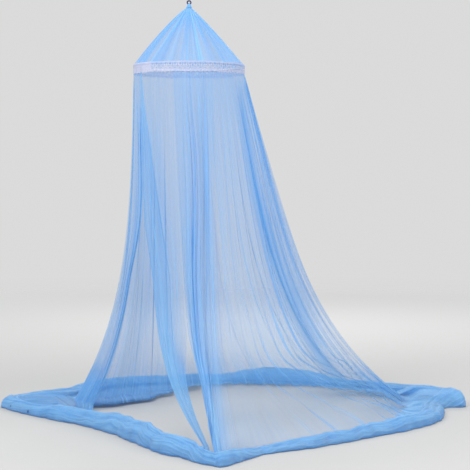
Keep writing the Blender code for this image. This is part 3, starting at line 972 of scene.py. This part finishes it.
hems = [hem_row(step) for step in range(ROLL_ROWS + UNDER_ROWS + 1)]
ring_points, ring_gather = (np.array(part) for part in zip(*aprons, *hems))
ring_points[0] = inner
ring_points, ring_gather = closed(ring_points), closed(np.clip(ring_gather, 1.0, 12.0))
print("ground ring:", ring_points.shape[0], "rows of", ring_points.shape[1])

# %% [markdown]
# ## Where the skirt lies on the flat cloth
# Streaks and threads follow the flat cloth: metres round the hem, and metres down from the hoop. On the hem
# the folds run lengthwise, so there the two directions change places.

# %% The skirt's flat cloth
HEM_STRETCH = 2.2


def with_collar(wall, gather):
    """The wall with one more row above it, up to the seam at the hoop."""
    collar = wall[:1].copy()
    collar[..., 2] = SEAM
    return np.concatenate([collar, wall]), np.concatenate([gather[:1], gather])


def step_lengths(points):
    return np.linalg.norm(np.diff(points, axis=0), axis=-1)


def cloth_of(points, across):
    """Where points lie on the flat cloth: across it as given, and metres down from its top."""
    return pairs(across[None, :], running(step_lengths(points).mean(axis=1))[:, None])


body_wall, body_gather = with_collar(body_wall, body_gather)
strip_wall, strip_gather = with_collar(strip_wall, strip_gather)
body_steps = sewn_width(BODY_LINES, body_places) * HEM_FULLNESS
strip_steps = sewn_width(STRIP_LINES, strip_places) * HEM_FULLNESS
hem_steps = step_lengths(ring_points[-3])
flat_steps = hem_steps.copy()
strip_first = len(body_places) + len(door_sill)
flat_steps[: len(body_places)] = body_steps
flat_steps[strip_first : strip_first + len(strip_places)] = strip_steps
across_ground = running(flat_steps)
body_cloth = cloth_of(body_wall, np.cumsum(body_steps))
strip_cloth = cloth_of(strip_wall, across_ground[strip_first] + np.cumsum(strip_steps))
out_over = running(step_lengths(ring_points))
ground_cloth = pairs(across_ground, body_cloth[-1, 0, 1] + out_over)
roll_cloth = pairs(HEM_STRETCH * (out_over - out_over[APRON_ROWS]), running(hem_steps))
print("flat cloth:", short(across_ground[-1]), "m round the ground")

# %% [markdown]
# ## The skirt
# The walls and the ground ring are one sheet of net. They share the points at the foot of the walls and
# down each slit where it is closed, so merging doubles sews them together.

# %% The skirt
apron, roll = slice(None, APRON_ROWS + 1), slice(APRON_ROWS, None)
body_sheet = (body_wall, body_cloth, body_gather)
strip_sheet = (strip_wall, strip_cloth, strip_gather)
apron_sheet = (ring_points[apron], ground_cloth[apron], ring_gather[apron])
roll_sheet = (ring_points[roll], roll_cloth[roll], ring_gather[roll])
skirt_bm = sewn(1e-5, body_sheet, strip_sheet, apron_sheet, roll_sheet)
skirt = piece("skirt_cloth", skirt_bm, skirt_finish)
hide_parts("skirt_net")

# %% [markdown]
# ## The cone
# Its pleats start as many fine ones at the neck and merge into fewer, broader ones on the way down. Two
# seams run down its front, with crinkled cloth between them, and it swells a little, most at the left.

# %% The cone's shape
CONE_COLUMNS, CONE_ROWS = 576, 54
CONE_SEAMS = (-92.0, -79.0)
CONE_BULGE, BULGE_PEAK = 0.013, 0.433
NECK_RADIUS = (crown_high.x - crown_low.x) / 2 - 0.004
SLOPE_TOP = crown_low.z - SHEET
SHOULDER = HOOP_HEIGHT + TUBE_RADIUS + SHEET
turn, down = round_grid(CONE_COLUMNS, CONE_ROWS)
down = down**1.25
degrees = 360 * turn - 180
angle = np.radians(degrees)
broad = 0.0045 * np.sin(math.tau * 12 * turn) + 0.003 * np.sin(math.tau * 5 * turn + 1.0)
medium = 0.0018 * ripple(turn, (23, 31, 38), 21, 0.01 * down)
fine = 0.0006 * ripple(turn, (64, 83, 97), 22) * (1 - 0.7 * down)
pleats = np.sin(math.pi * down) ** 0.8 * (broad + medium + fine)
between = soft_step((degrees - CONE_SEAMS[0]) / 2) * soft_step((CONE_SEAMS[1] - degrees) / 2)
crinkle = 0.0016 * between * np.sin(math.tau * 26 * down + 0.8 * np.sin(math.tau * 9 * turn))
crinkle = crinkle * soft_step((down - 0.5) / 0.3) * (down < 0.96)
bulge = CONE_BULGE * down**0.4 * (1 - down) / BULGE_PEAK * (0.72 - 0.28 * np.cos(angle))
radius = NECK_RADIUS + (COLLAR_RADIUS - NECK_RADIUS) * down + bulge + pleats + crinkle
slope = round_points(radius, angle, SLOPE_TOP + (SHOULDER - SLOPE_TOP) * down)
print("the cone widens from", short(NECK_RADIUS), "to", short(COLLAR_RADIUS), "m in radius")

# %% [markdown]
# ## The cone's two ends
# Above, the cloth runs up into the crown. Below, it turns over the hoop and down behind the lace, as a
# narrow casing.

# %% Neck and casing
NECK_RISE = 0.009
CASING_HEIGHTS = (HOOP_HEIGHT + 0.004, HOOP_HEIGHT, HOOP_HEIGHT - 0.004, SEAM)
neck = slope[:1].copy()
neck[..., 2] = crown_low.z + NECK_RISE
casing = round_points(COLLAR_RADIUS, angle, np.array(CASING_HEIGHTS)[:, None])
cone = np.concatenate([neck, slope, casing])
print("the cone has", len(cone), "rows,", len(casing), "of them in the casing")

# %% [markdown]
# ## How bunched the cone is
# All the cloth comes together at the crown. Further down it is denser at the sides, along the seams, and
# along a dozen rays, some of which fade out before the hoop.

# %% How bunched the cone is
CASING_GATHER = 4.5
Ray = namedtuple("Ray", "degrees wide dense reach")
CONE_RAYS = table(
    Ray,
    (-163, 2, 5, 1),
    (-150, 5, 1.6, 0.7),
    (-128, 2.5, 3, 0.6),
    (-111, 2, 2.5, 0.5),
    (-62, 2.2, 3, 0.6),
    (-44, 3, 2.5, 0.8),
    (-24, 3, 3, 0.9),
    (20, 4, 2, 0.7),
    (58, 3, 2, 0.6),
    (96, 4, 2, 0.7),
    (131, 3, 2, 0.6),
    (160, 4, 2, 0.8),
)
fall = np.concatenate([[0.0], down[:, 0], np.ones(len(casing))])[:, None]
bunch = 2.1 + 2.0 * np.abs(np.cos(angle)) ** 4 + 8.0 * np.exp(-fall / 0.14)
bunch *= 1 + 0.34 * ripple(turn, (9, 14, 23, 31), 23, 0.004 * fall)
for seam in CONE_SEAMS:
    bunch += 5.0 * np.exp(-(((degrees - seam) / (0.5 + 1.2 * (1 - fall))) ** 2))
for ray in CONE_RAYS:
    fades = soft_step((ray.reach - fall) / (0.6 * ray.reach) + 0.3)
    bunch += ray.dense * fades * np.exp(-(((degrees - ray.degrees) / ray.wide) ** 2))
bunch += 1.5 * between * np.sin(math.tau * 24 * fall) * soft_step((fall - 0.55) / 0.2)
cone_gather = np.clip(bunch, 0.8, 10.0)
cone_gather[-len(casing) :] = CASING_GATHER
print("the cone is bunched from", short(cone_gather.min()), "to", float(cone_gather.max()))

# %% [markdown]
# ## The finished cone
# The cone is one closed sheet, and its flat piece is a strip that narrows to the crown.

# %% The finished cone
cone_cloth = cloth_of(cone, running(step_lengths(cone[-1])))
cone_piece = piece("cone_cloth", sewn(1e-6, (cone, cone_cloth, cone_gather)), cone_finish)
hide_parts("top_net")
cone_area = sum(p.area for p in cone_piece.data.polygons)
print("cone:", short(cone_area), "square metres as drawn")

# %% [markdown]
# ## The lace
# The band is openwork lace with solid edges and two staggered rows of holes, a common narrow trimming. Its
# pattern comes from its UV map: holes are discs in each repeat, the dots between them are thicker, and the
# lower edge is scalloped. Where its ends lap over each other it is nearly solid.

# %% The lace's numbers
LACE_REPEAT = 0.0270
LACE_SHADE, LACE_WHITE = (0.62, 0.61, 0.72), (0.76, 0.75, 0.84)
LACE_GLOW = 0.42
SCALLOP_DEEP, SCALLOP_HIGH = 0.0050, 0.0045
Disc = namedtuple("Disc", "shift height size")
LACE_HOLES = table(
    Disc,
    (0, 0.013, 0.0068),
    (0.5, 0.0245, 0.0072),
    (0, 0.0255, 0.003),
    (0.5, 0.012, 0.003),
    (0, 0.0355, 0.005),
)
LACE_DOTS = table(Disc, (0.25, 0.0185, 0.0030), (0.75, 0.0185, 0.0030))
LACE_EDGING = table(Disc, (0.5, 0.0500, 0.0080))
print("the lace repeats every", LACE_REPEAT * 1000, "mm, with", len(LACE_HOLES), "holes in a repeat")

# %% [markdown]
# ## The lace's pattern
# A disc's height is measured down from the strip's upper edge. The yarn between the holes is uneven too.

# %% The lace's pattern
def disc(repeats, height, shape):
    """1 inside a disc in each repeat, 0 outside it."""
    wrapped = maths("FRACT", plus(repeats, shape.shift))
    aside = times(minus(wrapped, 0.5), LACE_REPEAT)
    up = minus(height, shape.height)
    squares = plus(maths("POWER", aside, 2.0), maths("POWER", up, 2.0))
    return remap(maths("SQRT", squares), shape.size * 0.80, shape.size * 1.2, 1.0, 0.0)


def discs(repeats, height, shapes):
    """All the discs of a list together."""
    found = disc(repeats, height, shapes[0])
    for shape in shapes[1:]:
        found = maths("MAXIMUM", found, disc(repeats, height, shape))
    return found


def lace_material():
    made = new_material("white lace")
    cloth, gather = cloth_inputs(made)
    split = node("SeparateXYZ", {"Vector": cloth})
    repeats, height = maths("DIVIDE", split.outputs["X"], LACE_REPEAT), split.outputs["Y"]
    shapes = (LACE_HOLES, LACE_DOTS, LACE_EDGING)
    holes, dots, edging = (discs(repeats, height, some) for some in shapes)
    uneven, fine = noise(cloth, 26.0, 2.0), noise(cloth, 900.0, 2.0)
    lapped = remap(gather, 1.5, 2.5, 0.0, 0.9)
    holes = times(holes, remap(uneven, 0.30, 0.62, 1.0, 0.35))
    holes = times(holes, minus(1.0, lapped))
    wave = maths("ABSOLUTE", maths("SINE", times(repeats, math.pi)))
    scallop = plus(LACE_WIDTH - SCALLOP_DEEP, times(wave, SCALLOP_HIGH))
    past_edge = remap(minus(height, scallop), -0.0004, 0.0004, 0.0, 1.0)
    solid = maths("MAXIMUM", maths("MAXIMUM", dots, edging), times(lapped, 1.1))
    yarn = plus(remap(fine, 0.3, 0.7, 0.46, 0.74), times(solid, 0.25))
    covered = times(minus(1.0, times(holes, 0.94)), yarn)
    covered = maths("MULTIPLY", covered, minus(1.0, past_edge), clamp=True)
    raised = plus(times(dots, 0.8), minus(fine, holes))
    skin = {"Roughness": 0.7, "Sheen Weight": 0.2, "Normal": bumps(raised, 0.6, 0.0012)}
    return sheer_cloth(made, colour_mix(dots, LACE_SHADE, LACE_WHITE), covered, LACE_GLOW, skin)


lace_finish = lace_material()
print("lace material made")

# %% [markdown]
# ## The lace band
# It is sewn on flat, so it only ripples by a millimetre, and its pattern repeats a whole number of times.

# %% The lace band
LACE_COLUMNS, LACE_ROWS = 720, 15
LACE_RADIUS = lace_high.x - SHEET / 2
LAP_FROM, LAP_TO, LAP_EASE = 178, 230, 3
turn, down = round_grid(LACE_COLUMNS, LACE_ROWS)
angle, degrees = math.tau * turn, 360 * turn
radius = LACE_RADIUS + 0.0010 * ripple(turn, (57, 76, 99), 31) * (0.2 + 0.8 * down) - 0.0006
sag = 0.0016 * ripple(turn, (7, 11, 16), 32) * down
lace = round_points(radius, angle, LACE_TOP - LACE_WIDTH * down + sag)
strip_length = math.tau * LACE_RADIUS
repeats = round(strip_length / LACE_REPEAT)
lace_cloth = pairs(turn * repeats * LACE_REPEAT, down * LACE_WIDTH)
lapped = soft_step((degrees - LAP_FROM) / LAP_EASE) * soft_step((LAP_TO - degrees) / LAP_EASE)
lace_gather = 1 + 2 * lapped + 0 * down
lace_piece = piece("lace_strip", sewn(1e-6, (lace, lace_cloth, lace_gather)), lace_finish)
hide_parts("lace_band")
print("lace:", short(strip_length), "m long,", repeats, "repeats")

# %% [markdown]
# ## Plain finishes
# The hoop and the ring are smooth plastic, and the crown is bound cloth, which is rougher. A fine grain and
# a slow change of shade keep them from looking perfect.

# %% Plain finishes
def plain(name, colour, roughness, speckle):
    """An opaque finish. speckle is how much darker its darkest patches are."""
    made = new_material(name)
    place = node("TexCoord", made=made).outputs["Object"]
    grain, cloud = noise(place, 420.0, 3.0), noise(place, 14.0, 2.0)
    darker = tuple(c * (1 - speckle) for c in colour)
    base = colour_mix(remap(cloud, 0.35, 0.65, 0.0, 1.0), darker, colour)
    rough = remap(grain, 0.3, 0.7, roughness - 0.06, roughness + 0.08)
    given = {"Base Color": base, "Roughness": rough, "Normal": bumps(grain, 0.15, 0.0003)}
    node("OutputMaterial", {"Surface": result("BsdfPrincipled", given)})
    return made


ring_finish = plain("navy plastic", (0.012, 0.024, 0.085), 0.34, 0.2)
hoop_finish = plain("white plastic", (0.780, 0.790, 0.800), 0.42, 0.06)
crown_finish = plain("blue binding", (0.110, 0.330, 0.660), 0.75, 0.35)
print("plain finishes:", [finish.name for finish in (ring_finish, hoop_finish, crown_finish)])

# %% [markdown]
# ## Hoop and ring
# Both are round rods bent into a ring, so a circle is spun once round the axis. The small ring stands
# upright, and its tube is drawn a little thick, so that it reads at this size.

# %% Turned rings
def torus(centre, radius, tube, sides, tube_sides, upright):
    """A ring at a height: radius is to the middle of the tube."""
    bm = bmesh.new()
    bmesh.ops.create_circle(bm, segments=tube_sides, radius=tube)
    for v in bm.verts:
        v.co = (radius + v.co.x, 0.0, v.co.y)
    section = bm.verts[:] + bm.edges[:]
    bmesh.ops.spin(
        bm, geom=section, cent=(0, 0, 0), axis=(0, 0, 1), angle=math.tau, steps=sides, use_merge=True
    )
    for v in bm.verts:
        x, y, z = v.co
        v.co = (x, z, y + centre) if upright else (x, y, z + centre)
    bmesh.ops.recalc_face_normals(bm, faces=bm.faces)
    if bm.calc_volume(signed=True) < 0:
        bmesh.ops.reverse_faces(bm, faces=bm.faces)
    return bm


hoop_bm = torus(HOOP_HEIGHT, HOOP_RADIUS - TUBE_RADIUS, TUBE_RADIUS, 160, 16, False)
hoop_piece = piece("hoop_tube", hoop_bm, hoop_finish)
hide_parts("hoop")

RING_TUBE = 0.0040
RING_RADIUS = (ring_high.x - ring_low.x) / 2 - RING_TUBE
RING_CENTRE = (ring_high.z + ring_low.z) / 2
ring_bm = torus(RING_CENTRE, RING_RADIUS, RING_TUBE, 64, 20, True)
ring_piece = piece("eye_ring", ring_bm, ring_finish)
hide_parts("hanging_ring")

# %% [markdown]
# ## The crown
# The gathered top of the net is turned in and bound. A soft cap with fine pleats, tapered towards the ring,
# stands for all of it.

# %% The crown
CROWN_RADIUS = (crown_high.x - crown_low.x) / 2
CROWN_COLUMNS, CROWN_ROWS, CROWN_PLEATS = 144, 26, 24
CROWN_CUT = (0.1, 0.024)
turn, part = round_grid(CROWN_COLUMNS, CROWN_ROWS)
taper = 0.96 * (1 - 0.62 * part**0.85) * np.sqrt(1 - (part * 0.995) ** 9.0)
pleated = 1 + 0.05 * np.sin(math.tau * CROWN_PLEATS * turn) * np.sin(math.pi * part) ** 0.5
heights = crown_low.z + (crown_high.z - crown_low.z) * part
cap = round_points(CROWN_RADIUS * taper * pleated, math.tau * turn, heights)[::-1]
cap_cloth = pairs(turn * CROWN_CUT[0], part * CROWN_CUT[1])
cap_bm = sewn(1e-5, (cap, cap_cloth, np.ones(cap.shape[:2])))
crown_piece = piece("crown_cap", cap_bm, crown_finish)
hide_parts("crown_binding")

# %% [markdown]
# ## The floor
# A pale floor fades into a plain pale surround, so no horizon crosses the sheer cloth. Its colour is painted
# light: darker near the middle, where the lamps light it most, and lighter further out, where their light
# falls off.

# %% The floor
FLOOR_RADIUS = 12.0
FLOOR_NEAR, FLOOR_FAR = (0.405, 0.405, 0.400), (0.830, 0.835, 0.830)
floor_finish = new_material("pale floor")
place = node("TexCoord", made=floor_finish).outputs["Object"]
away = node("VectorMath", {0: place}, operation="LENGTH").outputs["Value"]
fade = remap(away, 3.4, 9.5, 0.0, 1.0)
# Painted light: the floor is painted lighter further from the middle, making up for the lamp light that
# falls off there.
floor_painted_light = colour_mix(remap(away, 2.7, 8.0, 0.0, 1.0), FLOOR_NEAR, FLOOR_FAR)
given = {"Base Color": floor_painted_light, "Roughness": 0.9}
matt = result("BsdfPrincipled", given)
clear = result("BsdfTransparent", made=floor_finish)
faded = result("MixShader", {"Fac": fade, 1: matt, 2: clear})
node("OutputMaterial", {"Surface": faded})
bm = bmesh.new()
bmesh.ops.create_circle(bm, cap_ends=True, segments=96, radius=FLOOR_RADIUS)
bmesh.ops.translate(bm, verts=bm.verts, vec=(0, 0, GROUND))
floor = object_of("floor", bm, floor_finish)
floor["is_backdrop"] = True
print("the floor is", FLOOR_RADIUS, "m in radius")

# %% [markdown]
# ## Surround and lamps
# A large soft key comes from the upper left front, a weaker fill from the right, one from behind for the
# folds and a broad one from above for the cloth on the ground. Light passes many layers of cloth, so the
# limit on them is raised.

# %% Surround and lamps
SURROUND = (0.70, 0.705, 0.70, 1)
LAMP_AIM = (0.1, 0.0, -1.3)
Lamp = namedtuple("Lamp", "name x y z size power")
LAMPS = table(
    Lamp,
    ("key", -3.2, -3.6, 1.8, 2.4, 190),
    ("fill", 4.2, -2.4, 0.6, 3, 75),
    ("back", 0.8, 4.6, 1.4, 2.6, 105),
    ("above", 0.3, -1.2, 2.6, 4, 130),
)
world = bpy.data.worlds.new("studio")
bpy.context.scene.world = world
world.use_nodes = True
world.node_tree.nodes["Background"].inputs["Color"].default_value = SURROUND
world.node_tree.nodes["Background"].inputs["Strength"].default_value = 1.0
for lamp in LAMPS:
    data = bpy.data.lights.new(lamp.name, "AREA")
    data.size, data.energy = lamp.size, lamp.power
    made = placed(lamp.name, data)
    made.location = (lamp.x, lamp.y, lamp.z)
    x, y, z = np.array(LAMP_AIM) - (lamp.x, lamp.y, lamp.z)
    made.rotation_euler = (math.atan2(math.hypot(x, y), -z), 0.0, math.atan2(y, x) - math.pi / 2)
bpy.context.scene.view_settings.view_transform = "Standard"
bpy.context.scene.cycles.transparent_max_bounces = 64
print("surround and", len(LAMPS), "lamps")

# %% [markdown]
# ## The camera
# It stands well back with a long lens, a little above the middle of the net, and looks slightly down.

# %% The camera
CAMERA_PLACE = (0.0174, -7.5729, -0.8822)
CAMERA_TURN, CAMERA_DIP = math.radians(1.755), math.radians(2.947)
camera_data = bpy.data.cameras.new("camera")
camera_data.sensor_width = 36.0
camera_data.lens = 106.1
camera = placed("camera", camera_data)
camera.location = CAMERA_PLACE
camera.rotation_euler = (math.pi / 2 - CAMERA_DIP, 0.0, -CAMERA_TURN)
bpy.context.scene.camera = camera
print("camera", short(-CAMERA_PLACE[1]), "m in front of the hook's axis")

# %% [markdown]
# ## Sizes
# The finished model's box is worked out.

# %% Finish
low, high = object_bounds()
